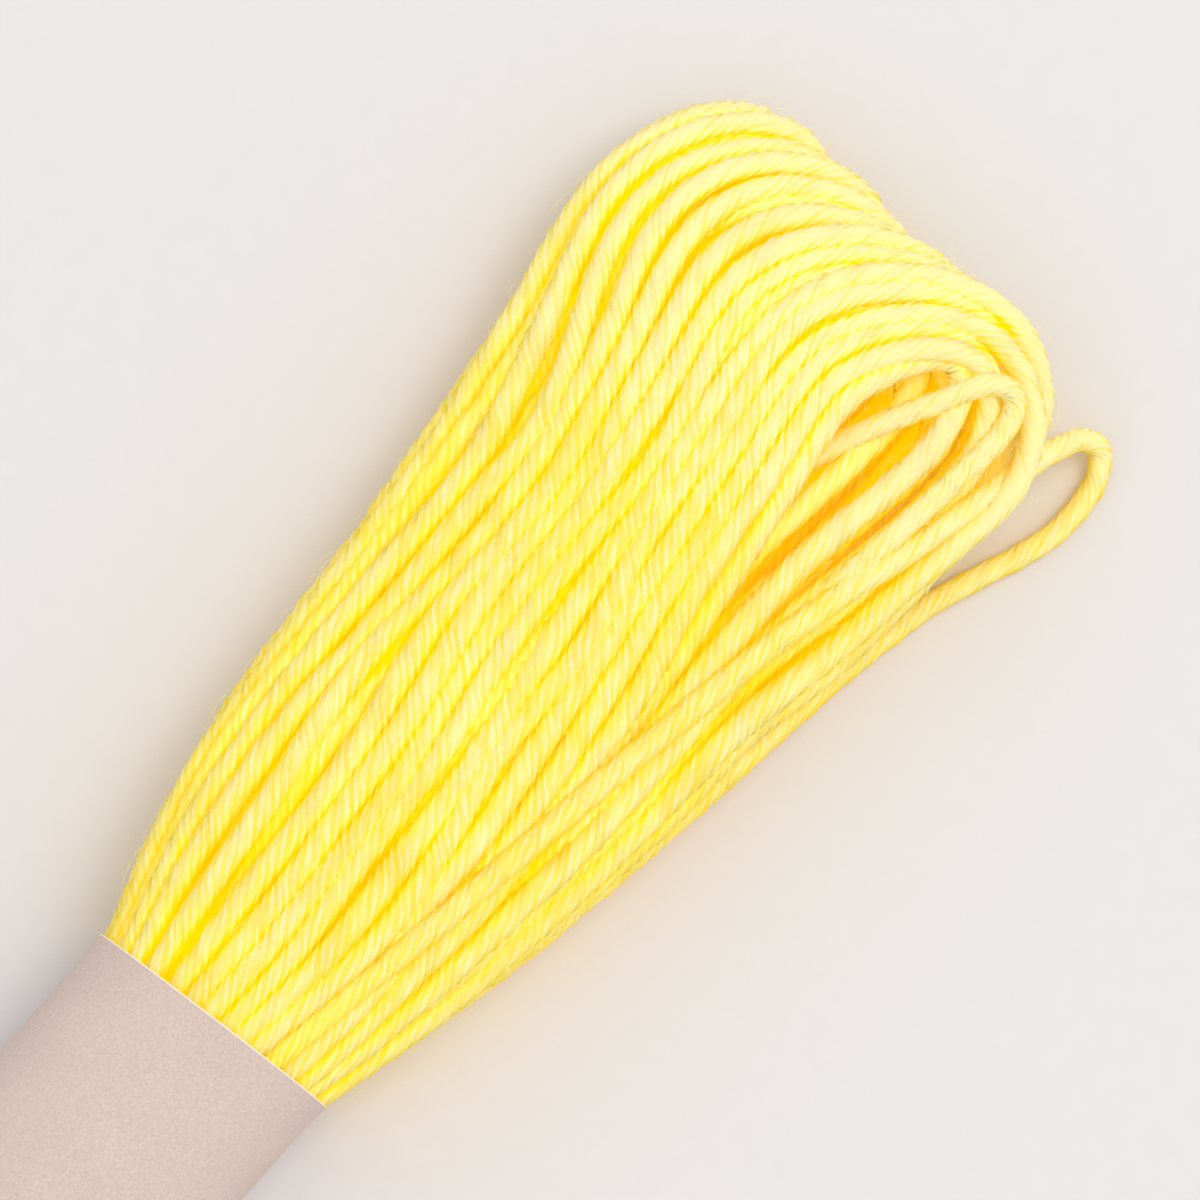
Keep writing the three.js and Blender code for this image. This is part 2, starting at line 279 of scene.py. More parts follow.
def table_at(distance):
    """Columns of the section table at the given distances, on cubic curves through its rows.

    The slope at a row is the harmonic mean of the slopes beside it, or zero at a peak and at
    both ends, so a curve never overshoots its rows.
    """
    at = SECTIONS[:, :1]
    step = np.diff(at, axis=0)
    rise = np.diff(SECTIONS, axis=0) / step
    before, after = rise[:-1], rise[1:]
    level = before * after > 0
    mean = 2 * before * after / np.where(level, before + after, 1)
    slope = np.pad(np.where(level, mean, 0), ((1, 1), (0, 0)))
    d = np.clip(distance, 0, at[-1, 0])
    i = np.clip(np.searchsorted(at[:, 0], d, side="right") - 1, 0, len(at) - 2)
    h = step[i]
    t = (d[:, None] - at[i]) / h
    low, high = SECTIONS[i], SECTIONS[i + 1]
    values = (
        low * (1 + 2 * t) * (1 - t) ** 2 + slope[i] * h * t * (1 - t) ** 2
        + high * t * t * (3 - 2 * t) - slope[i + 1] * h * t * t * (1 - t)
    )
    return {name: values[:, k:k + 1] for k, name in enumerate(SECTION_COLUMNS)}


def outline(section, angle):
    """Rounded oval |y|^p + |z|^p = 1 stretched to the section's reach and height, flat below."""
    across, upward = np.cos(angle), np.sin(angle)
    reach = np.where(across > 0, section["left"], section["right"])
    waist = section["base"] + WAIST * (section["top"] - section["base"])
    rise = np.where(upward > 0, section["top"] - waist, waist - section["base"] + FLAT)
    power = 2 / OVAL_POWER
    y = reach * np.sign(across) * np.abs(across) ** power
    z = waist + rise * np.sign(upward) * np.abs(upward) ** power
    return np.stack([y, np.maximum(z, section["base"])], axis=-1)


def outline_side(section, start, stop):
    """A stretch of each outline between two angles, with its length measured from 0 to 1."""
    share = np.linspace(0, 1, 33)
    points = outline(section, np.radians(start + (stop - start) * share))
    length = np.cumsum(np.linalg.norm(np.diff(points, axis=1), axis=-1), axis=1)
    length = np.concatenate([np.zeros((len(points), 1)), length], axis=1)
    return points, length / length[:, -1:]


def along(side, share):
    """Points at shares of a side's length."""
    points, length = side
    i = np.clip((length[:, :, None] <= share[:, None, :]).sum(1) - 1, 0, length.shape[1] - 2)
    rows = np.arange(len(points))[:, None]
    low, high = length[rows, i], length[rows, i + 1]
    t = ((share - low) / (high - low))[..., None]
    return points[rows, i] * (1 - t) + points[rows, i + 1] * t


def bundle_points(section, lane, height):
    """Points inside each section, blended from its four sides (a bilinear Coons patch).

    lane goes from -1 to 1 across the belt of turns, height from -1 under the lower run,
    over 0 in the slit, to 1 on the upper run.
    """
    upper = outline_side(section, section["up_out"], section["up_in"])
    lower = outline_side(section, section["low_out"], section["low_in"])
    outer = outline_side(section, section["low_out"], section["up_out"] + 360)
    inner = outline_side(section, section["low_in"], section["up_in"])
    u, v = (lane + 1) / 2, (height + 1) / 2
    a, b = u[..., None], v[..., None]
    first, last = np.zeros_like(u[:, :1]), np.ones_like(u[:, :1])
    faces = along(lower, u) * (1 - b) + along(upper, u) * b
    edges = along(outer, v) * (1 - a) + along(inner, v) * a
    corners = (
        along(lower, first) * (1 - a) * (1 - b) + along(lower, last) * a * (1 - b)
        + along(upper, first) * (1 - a) * b + along(upper, last) * a * b
    )
    return faces + edges - corners


# Stations along the loop


class Loop:
    """Stations once round the loop, and the cross-sections that pair its two runs.

    A section holds the upper and the lower station with the same distance along the skein:
    on the runs both have the same x, and round a bend they lie either side of the tip.
    """

    def __init__(self):
        x = np.arange(-RUN_END, RUN_END + 0.5)
        half = BEND_STEPS // 2
        bend = np.pi * (np.arange(half) + 0.5) / BEND_STEPS
        self.end = np.concatenate([np.sign(x), np.ones(half), -np.ones(half)])
        self.distance = np.concatenate([np.abs(x), np.full(2 * half, RUN_END)])
        self.turn = np.concatenate([np.zeros(len(x)), bend, bend])
        run = np.arange(len(x))
        near = len(x) + np.arange(half)
        far = near + half
        self.row = np.concatenate([run, near, near[::-1], run[::-1], far, far[::-1]])
        self.side = np.repeat([0, 1, 1, 0], [len(x) + half, half + len(x), half, half])
        self.section = table_at(self.distance)
        slim = np.clip((self.distance - FAR_FROM) / FAR_OVER, 0, 1) * (self.end < 0)
        for name in ("left", "right"):
            self.section[name] = self.section[name] * (1 - (1 - FAR_WIDTH) * slim[:, None])
        self.section["eye"] = self.section["eye"] * np.where(self.end < 0, FAR_EYE, 1)[:, None]

    def to_loop(self, sections):
        """Rows of strands by section, the upper run first, put in order once round the loop."""
        return sections.reshape(len(self.end), 2, -1, sections.shape[-1])[self.row, self.side]

    def to_sections(self, looped):
        """Vectors in order round the loop, put back in one row of strands for each section."""
        sections = np.zeros((len(self.end), 2) + looped.shape[1:])
        sections[self.row, self.side] = looped
        return sections.reshape(len(sections), -1, looped.shape[-1])


def wander_field(rng, stations, lane, depth, waves, own):
    """Closed wandering lines, about 1 in size: sums of sine waves round the loop.

    A wave's phase drifts across the lanes and layers, so neighbours wander together; the
    share called own is drawn anew for each strand.
    """
    turn = 2 * np.pi * np.arange(stations)[:, None, None] / stations
    start = rng.uniform(0, 2 * np.pi, len(waves))
    drift = rng.normal(0, DRIFT, (2, len(waves)))
    shared = start + lane[:, None] * drift[0] + depth[:, None] * drift[1]
    single = rng.uniform(0, 2 * np.pi, (len(lane), len(waves)))
    size = rng.normal(0, 1, (2, len(waves))) / np.sqrt(len(waves))
    together = (size[0] * np.sin(turn * np.array(waves) + shared)).sum(-1)
    alone = (size[1] * np.sin(turn * np.array(waves) + single)).sum(-1)
    return together * (1 - own) + alone * own


def laid_turns(loop, lanes, layers, rng):
    """Middle lines of the turns as they are wound, before they settle.

    A run's strand is the section point of its lane and layer. Round a bend a strand swings
    from its upper to its lower place on a blunt half ellipse, leaning towards the lower run,
    while x goes out to its tip and back.
    """
    layer, lane = np.divmod(np.arange(layers * lanes), lanes)
    stagger = np.where(layer % 2 == 0, STAGGER, -STAGGER)
    lane = 2 * (lane + 0.5 + stagger) / lanes - 1
    depth = (layer + 0.5) / layers
    dip = END_DIP * np.exp(-((lane - DIP_LANE) / DIP_WIDTH) ** 2)
    short = dip + rng.uniform(0, TIP_UNEVEN, len(lane)) + depth * rng.uniform(*CORE_UNEVEN, len(lane))
    half = (loop.section["top"] - loop.section["base"]) / 2
    across = np.broadcast_to(lane, (len(half), len(lane)))
    slit = (SLIT + loop.section["eye"] * ((across + 1) / 2) ** EYE_POWER) / 2 / half
    height = 1 - depth * (1 - slit)
    upper = bundle_points(loop.section, across, height)
    lower = bundle_points(loop.section, across, -height)
    stretch = np.sin(loop.turn)[:, None] ** (BLUNT + (BLUNT_CORE - BLUNT) * depth)
    drop = np.where(lane < 0, CORNER_DROP * lane ** 4, 0)
    tip = HALF_LENGTH - drop - BELT_DEPTH * depth - short
    distance = loop.distance[:, None]
    x = (loop.end[:, None] * (distance + (tip - distance) * stretch))[..., None]
    swing = np.cos(loop.turn)[:, None, None]
    places = []
    for sign in (1, -1):
        mix = 1 - ((1 - sign * swing) / 2) ** HOOK
        places.append(np.concatenate([x, lower * (1 - mix) + upper * mix], axis=-1))
    return np.stack(places, axis=1), lane, depth, layer


def catmull_rom(a, b, c, d, t):
    """Cubic curve from b to c, where t goes from 0 to 1, with its slopes from a to c and b to d."""
    return 0.5 * (
        2 * b + (c - a) * t + (2 * a - 5 * b + 4 * c - d) * t * t + (3 * b - a - 3 * c + d) * t ** 3
    )


def routed_line(route, spacing):
    """A turn's middle line: a cubic curve through its route, evenly spaced."""
    p = np.concatenate([route[:1], route, route[-1:]])
    t = np.linspace(0, 1, 40, endpoint=False)[None, :, None]
    curve = catmull_rom(*(p[k:len(p) - 3 + k, None] for k in range(4)), t)
    curve = np.concatenate([curve.reshape(-1, 3), route[-1:]])
    length = np.concatenate([[0], np.cumsum(np.linalg.norm(np.diff(curve, axis=0), axis=1))])
    even = np.linspace(0, length[-1], int(round(length[-1] / spacing)) + 1)
    return np.stack([np.interp(even, length, curve[:, k]) for k in range(3)], axis=1)


def hold_inside(line, held):
    """Moves strands that stand outside the bundle's outline back onto it."""
    x, y, z = np.moveaxis(line, -1, 0)
    strand = held["strand"]
    waist = held["base"] + WAIST * (held["top"] - held["base"])
    across = y / (np.where(y > 0, held["left"], held["right"]) - strand)
    rise = np.where(z > waist, held["top"] - waist, waist - held["base"] + FLAT) - strand
    upward = (z - waist) / rise
    out = (np.abs(across) ** OVAL_POWER + np.abs(upward) ** OVAL_POWER) ** (1 / OVAL_POWER)
    out = np.maximum(out, 1)
    z = np.maximum(waist + (z - waist) / out, held["base"] + strand)
    return np.stack([x, y / out, z], axis=-1)


def smoothed(line, share):
    """A closed line whose points move by a share towards the middle between their neighbours."""
    return line + share * ((np.roll(line, -1, 0) + np.roll(line, 1, 0)) / 2 - line)


def settle(loop, places, slack, stray, steps):
    """Pushes strands apart until they touch without sinking into each other.

    In every section each pair of strands nearer than their two radii moves apart across the
    strand; the moves are smoothed along each turn, first over a long stretch so that strands
    keep their order, then less. Strands stay inside the bundle's outline and keep clear of
    the slack turn. Past half-way each strand strays from its lane by the first two rows of
    stray, and once all is settled by the last two.
    """
    strands = places.shape[2]
    radius = SQUEEZE * np.repeat(loop.section["strand"], 2 * strands, axis=1).astype(np.float32)
    laid = loop.to_loop(places)
    moved = np.zeros_like(laid)
    straying = steps * 5 // 8
    held = {name: loop.section[name][loop.row] for name in ("left", "right", "top", "base", "strand")}
    reach = np.where(loop.turn > 0, RUN_END, loop.distance)
    free = np.clip((RUN_END - reach) / FREE_RUN, BEND_FREE, 1)[loop.row][:, None, None]
    nearby = np.abs(slack[::3, None] - laid.reshape(1, -1, 3)).max(-1).min(0) < SLACK_NEAR
    itself = np.eye(2 * strands, dtype=bool)[None]
    for step in range(steps):
        line = laid + moved
        tangent = unit(np.roll(line, -1, 0) - np.roll(line, 1, 0))
        disc = loop.to_sections(line).astype(np.float32)
        ahead = loop.to_sections(tangent).astype(np.float32)
        gap = disc[:, None] - disc[:, :, None]
        lead = np.einsum("qijk,qik->qij", gap, ahead)
        gap -= lead[..., None] * ahead[:, :, None]
        apart = np.sqrt(np.einsum("qijk,qijk->qij", gap, gap)) + 1e-6
        short = np.clip(radius[:, :, None] + radius[:, None] - apart, 0, None)
        short[(np.abs(lead) > ABREAST) | itself] = 0
        push = -np.einsum("qijk,qij->qik", gap, short / apart)
        moved += PUSH * free * loop.to_loop(push)
        line = (laid + moved).reshape(-1, 3)
        reach = line[nearby][:, None] - slack[None]
        far = np.linalg.norm(reach, axis=-1)
        nearest = far.argmin(1)
        rows = np.arange(len(nearest))
        lacking = np.clip(SLACK_CLEAR - far[rows, nearest], 0, None)
        line[nearby] += 0.5 * reach[rows, nearest] * (lacking / far[rows, nearest])[:, None]
        moved = line.reshape(laid.shape) - laid
        for _ in range(max(2, LONG_SMOOTH - step)):
            moved = smoothed(moved, 0.4)
        line = laid + RELAX * moved
        if step == straying:
            _, first, second = strand_frames(line)
            line += stray[0][..., None] * first + stray[1][..., None] * second
        moved = line + free * (hold_inside(line, held) - line) - laid
    line = laid + moved
    _, first, second = strand_frames(line)
    line = line + free * (stray[2][..., None] * first + stray[3][..., None] * second)
    line = line + free * (hold_inside(line, held) - line)
    for _ in range(LAST_SMOOTH):
        line = smoothed(line, 0.3)
    return line


def strand_frames(line, closed=True):
    """Tangent, the direction across the belt made square to it, and the one square to both."""
    if closed:
        tangent = unit(np.roll(line, -1, 0) - np.roll(line, 1, 0))
    else:
        tangent = unit(np.gradient(line, axis=0))
    across = np.array(BELT_ACROSS)
    first = unit(across - (tangent @ across)[..., None] * tangent)
    return tangent, first, np.cross(tangent, first)


def shelter(loop, line, shell):
    """How far neighbours cover each direction round a strand, from 0 in the open to 1.

    Each neighbour adds a lobe, the squared cosine about its own direction, that fades as the
    gap between the two strands opens. Strands of the inner shells are never in the open.
    """
    _, first, second = (loop.to_sections(across) for across in strand_frames(line))
    disc = loop.to_sections(line)
    gap = disc[:, None] - disc[:, :, None]
    apart = np.linalg.norm(gap, axis=-1)
    q, i, j = np.nonzero((apart < SHELTER_REACH) & (apart > 1e-6))
    toward = gap[q, i, j] / apart[q, i, j][:, None]
    a = (toward * first[q, i]).sum(-1)[:, None]
    b = (toward * second[q, i]).sum(-1)[:, None]
    near = np.clip((SHELTER_REACH - apart[q, i, j]) / SHELTER_FADE, 0, 1)
    angle = 2 * np.pi * np.arange(SHELTER_BINS) / SHELTER_BINS
    lobe = np.clip(a * np.cos(angle) + b * np.sin(angle), 0, 1) ** 2 * near[:, None]
    rows, width = disc.shape[:2]
    total = np.stack([np.bincount(q * width + i, lobes, rows * width) for lobes in lobe.T], axis=-1)
    cover = loop.to_loop(1 - np.exp(-SHELTER_RATE * total))
    # The inner shells' least shelter only adds painted shade to them
    return np.maximum(cover, np.array(BURIED)[np.minimum(shell, len(BURIED) - 1)][None, :, None])


@functools.lru_cache(maxsize=1)
def wound_skein(lanes, layers, wander, seed):
    """All turns of the skein, settled round the slack turn.

    By station and strand: middle line, radius and shelter. By strand: its layer, its shell from
    the outside inwards, the start of its twist and its own thickness.
    """
    loop = Loop()
    rng = np.random.default_rng(seed)
    places, lane, depth, layer = laid_turns(loop, lanes, layers, rng)
    loose = np.clip((loop.distance[loop.row] - GRIP_FROM) / GRIP_OVER, GRIPPED, 1)[:, None]
    stray = [
        wander * share * loose * wander_field(rng, len(loop.row), lane, depth, waves, own)
        for share, waves, own in STRAYS
    ]
    order = np.tile(np.arange(lanes), layers)
    shell = np.minimum(layer, np.minimum(order, lanes - 1 - order))
    slack = routed_line(SLACK_ROUTE, spacing=0.4)
    line = settle(loop, places, slack, stray, SETTLE_STEPS)
    return {
        "line": line,
        "radius": np.repeat(loop.section["strand"][loop.row], line.shape[1], axis=1),
        "cover": shelter(loop, line, shell),
        "layer": layer,
        "shell": shell,
        "phase": rng.uniform(0, 2 * np.pi, line.shape[1] + 1),
        "thick": rng.uniform(0.93, 1.05, line.shape[1] + 1),
    }


# Thread surface


def cubic(values, at):
    """Values of a closed row of samples between its stations, on Catmull-Rom curves."""
    count = len(values)
    i = np.floor(at).astype(int)
    t = (at - i).reshape((-1,) + (1,) * (values.ndim - 1))
    return catmull_rom(*(values[(i + k) % count] for k in (-1, 0, 1, 2)), t)


def ring_places(line, step, sides):
    """Stations of a closed strand's rings, a step apart and wider apart inside the band.

    The number of rings is a multiple of the sides, so the twist closes on itself.
    """
    length = np.linalg.norm(np.roll(line, -1, 0) - line, axis=1)
    middle = (np.abs(line[:, 0]) + np.abs(np.roll(line[:, 0], -1))) / 2
    density = length / np.where(middle < HIDDEN_WITHIN, HIDDEN_STEP, step)
    total = np.concatenate([[0], np.cumsum(density)])
    rings = max(1, int(round(total[-1] / sides))) * sides
    return np.interp(np.arange(rings) * total[-1] / rings, total, np.arange(len(total)))


def ply_tube(line, radius, cover, phase, sides, groove, closed):
    """Plied thread: a star-shaped ring carried along a line, turned one corner a ring.

    The radius is full on the crest of a ply and less in the groove beside it, and rings turn
    left-handed as they go, so the faces follow the plies (an S twist). Plies that meet the
    surface below are flat against it.
    """
    rings = len(line)
    _, first, second = strand_frames(line, closed)
    corner = np.arange(sides)
    place = 2 * np.pi * np.arange(rings)[:, None] / rings
    waves = np.array(WOBBLE_WAVES)
    wobble = np.sin(place * waves + phase * np.arange(1, len(waves) + 1))
    wobble = WOBBLE * wobble.sum(1, keepdims=True)
    turn = phase + 2 * np.pi * (corner[None] - np.arange(rings)[:, None]) / sides + wobble
    waves = SWELL_WAVES + corner * 7 % 31
    swell = SWELL * np.sin(place * waves + phase * (corner + 1))
    reach = radius[:, None] * (np.where(corner % 2 == 0, 1.0, 1 - groove)[None] + swell)
    out = np.cos(turn)[..., None] * first[:, None] + np.sin(turn)[..., None] * second[:, None]
    bins = cover.shape[1]
    at = (turn / (2 * np.pi) * bins) % bins
    low = np.floor(at).astype(int) % bins
    share = at - np.floor(at)
    rows = np.arange(rings)[:, None]
    depth = cover[rows, low] * (1 - share) + cover[rows, (low + 1) % bins] * share
    points = line[:, None] + reach[..., None] * out
    points[..., 2] = np.maximum(points[..., 2], 0)
    # depth, the shelter at each corner, and under, the share of a face that looks down, are painted as shade
    return points, {"depth": depth, "under": np.clip(UNDER_BELOW - out[..., 2], 0, 1)}


def ring_faces(rings, sides, start, closed):
    """Quads between rings, with the along and around place of each corner."""
    spans = rings if closed else rings - 1
    r, c = np.divmod(np.arange(spans * sides), sides)
    corners = np.array([(0, 0), (0, 1), (1, 1), (1, 0)])
    place = np.stack([r, c], -1)[:, None] + corners
    quads = start + place[..., 0] % rings * sides + place[..., 1] % sides
    return quads, place


def new_mesh(name, points, faces, uv=None, values=None):
    """An object from arrays of points in millimetres, faces, corner UVs and point values."""
    mesh = bpy.data.meshes.new(name)
    mesh.vertices.add(len(points))
    mesh.vertices.foreach_set("co", np.ascontiguousarray(points * MM, np.float32).ravel())
    corners = faces.shape[1]
    mesh.loops.add(faces.size)
    mesh.loops.foreach_set("vertex_index", np.ascontiguousarray(faces, np.int32).ravel())
    mesh.polygons.add(len(faces))
    mesh.polygons.foreach_set("loop_start", np.arange(0, faces.size, corners, dtype=np.int32))
    mesh.polygons.foreach_set("loop_total", np.full(len(faces), corners, np.int32))
    mesh.polygons.foreach_set("use_smooth", np.ones(len(faces), bool))
    if uv is not None:
        layer = mesh.uv_layers.new(name="thread")
        layer.data.foreach_set("uv", np.ascontiguousarray(uv, np.float32).ravel())
    for label, data in (values or {}).items():
        attribute = mesh.attributes.new(label, "FLOAT", "POINT")
        attribute.data.foreach_set("value", data.astype(np.float32).ravel())
    mesh.validate()
    mesh.update(calc_edges=True)
    piece = bpy.data.objects.new(name, mesh)
    bpy.context.scene.collection.objects.link(piece)
    return piece


def thread_piece(name, tubes, step):
    """One object from many tubes: points, faces, depth and under side, both painted as shade, and UVs along
    and around.

    The ends of a tube that isn't closed are capped by fans of quads.
    """
    points, faces, uvs = [], [], []
    start = 0
    for index, (grid, _, closed) in enumerate(tubes):
        rings, sides = grid.shape[:2]
        quads, place = ring_faces(rings, sides, start, closed)
        uv = place * np.array([step, 1 / sides]) + np.array([STRAND_APART * index, 0])
        points.append(grid.reshape(-1, 3))
        faces.append(quads)
        uvs.append(uv.reshape(-1, 2))
        start += rings * sides
        if not closed:
            ends = np.array([np.arange(sides)[::-1], (rings - 1) * sides + np.arange(sides)])
            hub = np.repeat(ends[:, :1], sides // 2 - 1, 1)
            cap = np.stack([hub, ends[:, 1:-2:2], ends[:, 2:-1:2], ends[:, 3::2]], -1).reshape(-1, 4)
            faces.append(cap + start - rings * sides)
            uvs.append(np.zeros((cap.size, 2)))
    values = {
        label: np.concatenate([tube[1][label].ravel() for tube in tubes]) for label in ("depth", "under")
    }
    return new_mesh(name, np.concatenate(points), np.concatenate(faces), np.concatenate(uvs), values)


def skein_of(settings):
    """The wound turns for the thread settings."""
    return wound_skein(settings.lanes, settings.layers, settings.wander / MM, settings.seed)


def turn_tubes(settings, chosen, sides, step):
    """Tubes of the chosen turns."""
    skein = skein_of(settings)
    tubes = []
    for k in chosen:
        at = ring_places(skein["line"][:, k], step, sides)
        line = cubic(skein["line"][:, k], at)
        radius = cubic(skein["radius"][:, k], at) * skein["thick"][k]
        cover = np.clip(cubic(skein["cover"][:, k], at), 0, 1)
        tube = ply_tube(line, radius, cover, skein["phase"][k], sides, settings.groove, True)
        tubes.append((*tube, True))
    return tubes


def routed_piece(name, settings, route, phase, cover, nested):
    """One object from a turn laid along its own route, and its middle line.

    cover says how the turn's shelter, painted as shade, falls along the skein: the place where it reaches
    zero, the length over which it falls from one, and the least and most of it. nested is how much the
    strands below it shelter its under side, which is painted as shade too.
    """
    bare, over, least, most = cover
    sides = 2 * settings.plies
    step = settings.lead / MM / sides
    line = routed_line(route, step)
    radius = ROUTED_SLIM * table_at(np.abs(line[:, 0]))["strand"][:, 0]
    _, first, second = strand_frames(line, False)
    angle = np.radians(np.arange(0, 360, 30))
    rise = first[:, 2:] * np.cos(angle) + second[:, 2:] * np.sin(angle)
    # Painted shade: shelter along the skein, and shade from the strands below on the under side
    depth = np.clip((bare - line[:, :1]) / over, least, most)
    depth = np.maximum(depth, nested * np.clip(NESTED_BELOW - rise, 0, 1))
    tube = ply_tube(line, radius, depth, phase, sides, settings.groove, False)
    return thread_piece(name, [(*tube, False)], step), line


def stray_fibres(skein, count, fine, seed):
    """Loose fibres: each leaves a strand's open side, arches off it and lies down further along.

    A fibre's distance from the strand's middle line is the radius plus an arch, the sine of its
    share of the way, and its angle round the strand drifts as it goes.
    """
    rng = np.random.default_rng(seed)
    line = skein["line"]
    stations, bins = len(line), skein["cover"].shape[-1]
    strand = rng.choice(np.nonzero(skein["shell"] == 0)[0], count)
    start = rng.uniform(0, stations, count)
    angle = rng.uniform(0, 2 * np.pi, count)
    near = start.astype(int)
    bare = skein["cover"][near, strand, (angle / (2 * np.pi) * bins).astype(int)] < OPEN_BELOW
    keep = bare & (np.abs(line[near, strand, 0]) > BAND_HIGH[0] + 1)
    strand, start, angle = strand[keep, None], start[keep, None], angle[keep, None]
    share = np.linspace(0, 1, len(FIBRE_TAPER))
    span = rng.normal(0, FIBRE_SPAN, start.shape)
    at = start + span * share
    station = np.floor(at).astype(int)
    part = (at - station)[..., None]

    def between(values):
        low, high = (values[(station + k) % stations, strand] for k in (0, 1))
        return low * (1 - part) + high * part

    tangent, first, second = (between(values) for values in strand_frames(line))
    turn = (angle + rng.normal(0, FIBRE_DRIFT, start.shape) * share)[..., None]
    out = np.cos(turn) * first + np.sin(turn) * second
    arch = rng.uniform(*FIBRE_ARCH, start.shape)
    arch = arch * np.sin(np.pi * share * rng.uniform(0.5, 1, start.shape))
    path = between(line) + out * (between(skein["radius"][..., None]) + arch[..., None])
    path[..., 2] = np.maximum(path[..., 2], 2 * fine)
    corner = 2 * np.pi * np.arange(4)[:, None] / 4
    taper = fine * np.array(FIBRE_TAPER)[:, None, None]
    beside = np.cross(tangent * np.sign(span)[..., None], out)
    ring = np.cos(corner) * out[:, :, None] + np.sin(corner) * beside[:, :, None]
    points = path[:, :, None] + taper * ring
    quads, _ = ring_faces(len(share), len(corner), 0, False)
    last = (len(share) - 1) * len(corner)
    quads = np.concatenate([quads, [[3, 2, 1, 0]], last + np.arange(4)[None]])
    first_point = np.arange(len(points)) * len(share) * len(corner)
    faces = (quads + first_point[:, None, None]).reshape(-1, 4)
    points = points.reshape(-1, 3)
    values = {label: np.zeros(len(points)) for label in ("depth", "under")}
    return new_mesh("stray_fibres", points, faces, np.zeros((faces.size, 2)), values)


# Shaders


class Wire:
    """An output socket; arithmetic on it adds Math nodes to its tree."""

    def __init__(self, shader, socket):
        self.shader = shader
        self.socket = socket

    def math(self, operation, *others):
        return self.shader.node("ShaderNodeMath", {"operation": operation}, (self, *others))["Value"]

    def reflected(self, operation, other):
        return self.shader.node("ShaderNodeMath", {"operation": operation}, (other, self))["Value"]

    def __add__(self, other):
        return self.math("ADD", other)

    def __sub__(self, other):
        return self.math("SUBTRACT", other)

    def __rsub__(self, other):
        return self.reflected("SUBTRACT", other)

    def __mul__(self, other):
        return self.math("MULTIPLY", other)

    def __truediv__(self, other):
        return self.math("DIVIDE", other)

    def __rtruediv__(self, other):
        return self.reflected("DIVIDE", other)

    __radd__ = __add__
    __rmul__ = __mul__

    def clamp(self):
        return self.shader.node("ShaderNodeClamp", {}, {"Value": self})["Result"]


class Shader:
    """A material's node tree, with one method that makes any node."""

    def __init__(self, name):
        self.material = bpy.data.materials.new(name)
        self.material.use_nodes = True
        self.tree = self.material.node_tree
        self.tree.nodes.clear()
        self.spot = self.node("ShaderNodeTexCoord")["Object"]

    def node(self, kind, settings=None, inputs=None):
        """Adds a node, sets its settings, then its sockets, and gives its outputs by name."""
        made = self.tree.nodes.new(kind)
        for name, value in (settings or {}).items():
            if name == "stops":
                for k, (place, color) in enumerate(value):
                    stop = made.color_ramp.elements[k] if k < 2 else made.color_ramp.elements.new(place)
                    stop.position, stop.color = place, (*color, 1)
            else:
                setattr(made, name, value)
        pairs = inputs.items() if isinstance(inputs, dict) else enumerate(inputs or ())
        for key, value in pairs:
            if isinstance(value, Wire):
                self.tree.links.new(value.socket, made.inputs[key])
            elif made.inputs[key].type == "RGBA":
                made.inputs[key].default_value = (*value, 1)
            else:
                made.inputs[key].default_value = value
        return {socket.name: Wire(self, socket) for socket in made.outputs if socket.enabled}

    def mix(self, factor, low, high):
        """Two colours mixed by a factor."""
        sockets = {0: factor, 6: low, 7: high}
        return self.node("ShaderNodeMix", {"data_type": "RGBA"}, sockets)["Result"]

    def shades(self, factor, color, low, high):
        """One colour from a darker to a lighter shade of it, by a factor."""
        tone = np.array(color)
        return self.mix(factor, tone * low, np.minimum(tone * high, 1))

    def grain(self, strength, height):
        """Normals of a fine unevenness."""
        sockets = {"Strength": strength, "Distance": GRAIN_HEIGHT, "Height": height}
        return self.node("ShaderNodeBump", {}, sockets)["Normal"]

    def split(self, vector):
        return self.node("ShaderNodeSeparateXYZ", {}, (vector,))

    def vector(self, x, y, z):
        return self.node("ShaderNodeCombineXYZ", {}, (x, y, z))["Vector"]

    def noise(self, vector, scale, detail=2.0, roughness=0.5):
        made = self.node("ShaderNodeTexNoise", {}, {
            "Vector": vector, "Scale": scale, "Detail": detail, "Roughness": roughness,
        })
        return next(iter(made.values()))

    def surface(self, **sockets):
        """A Principled surface joined to the output."""
        sockets = {name.replace("_", " "): value for name, value in sockets.items()}
        bsdf = self.node("ShaderNodeBsdfPrincipled", {}, sockets)
        self.node("ShaderNodeOutputMaterial", {}, {"Surface": bsdf["BSDF"]})
        return self.material


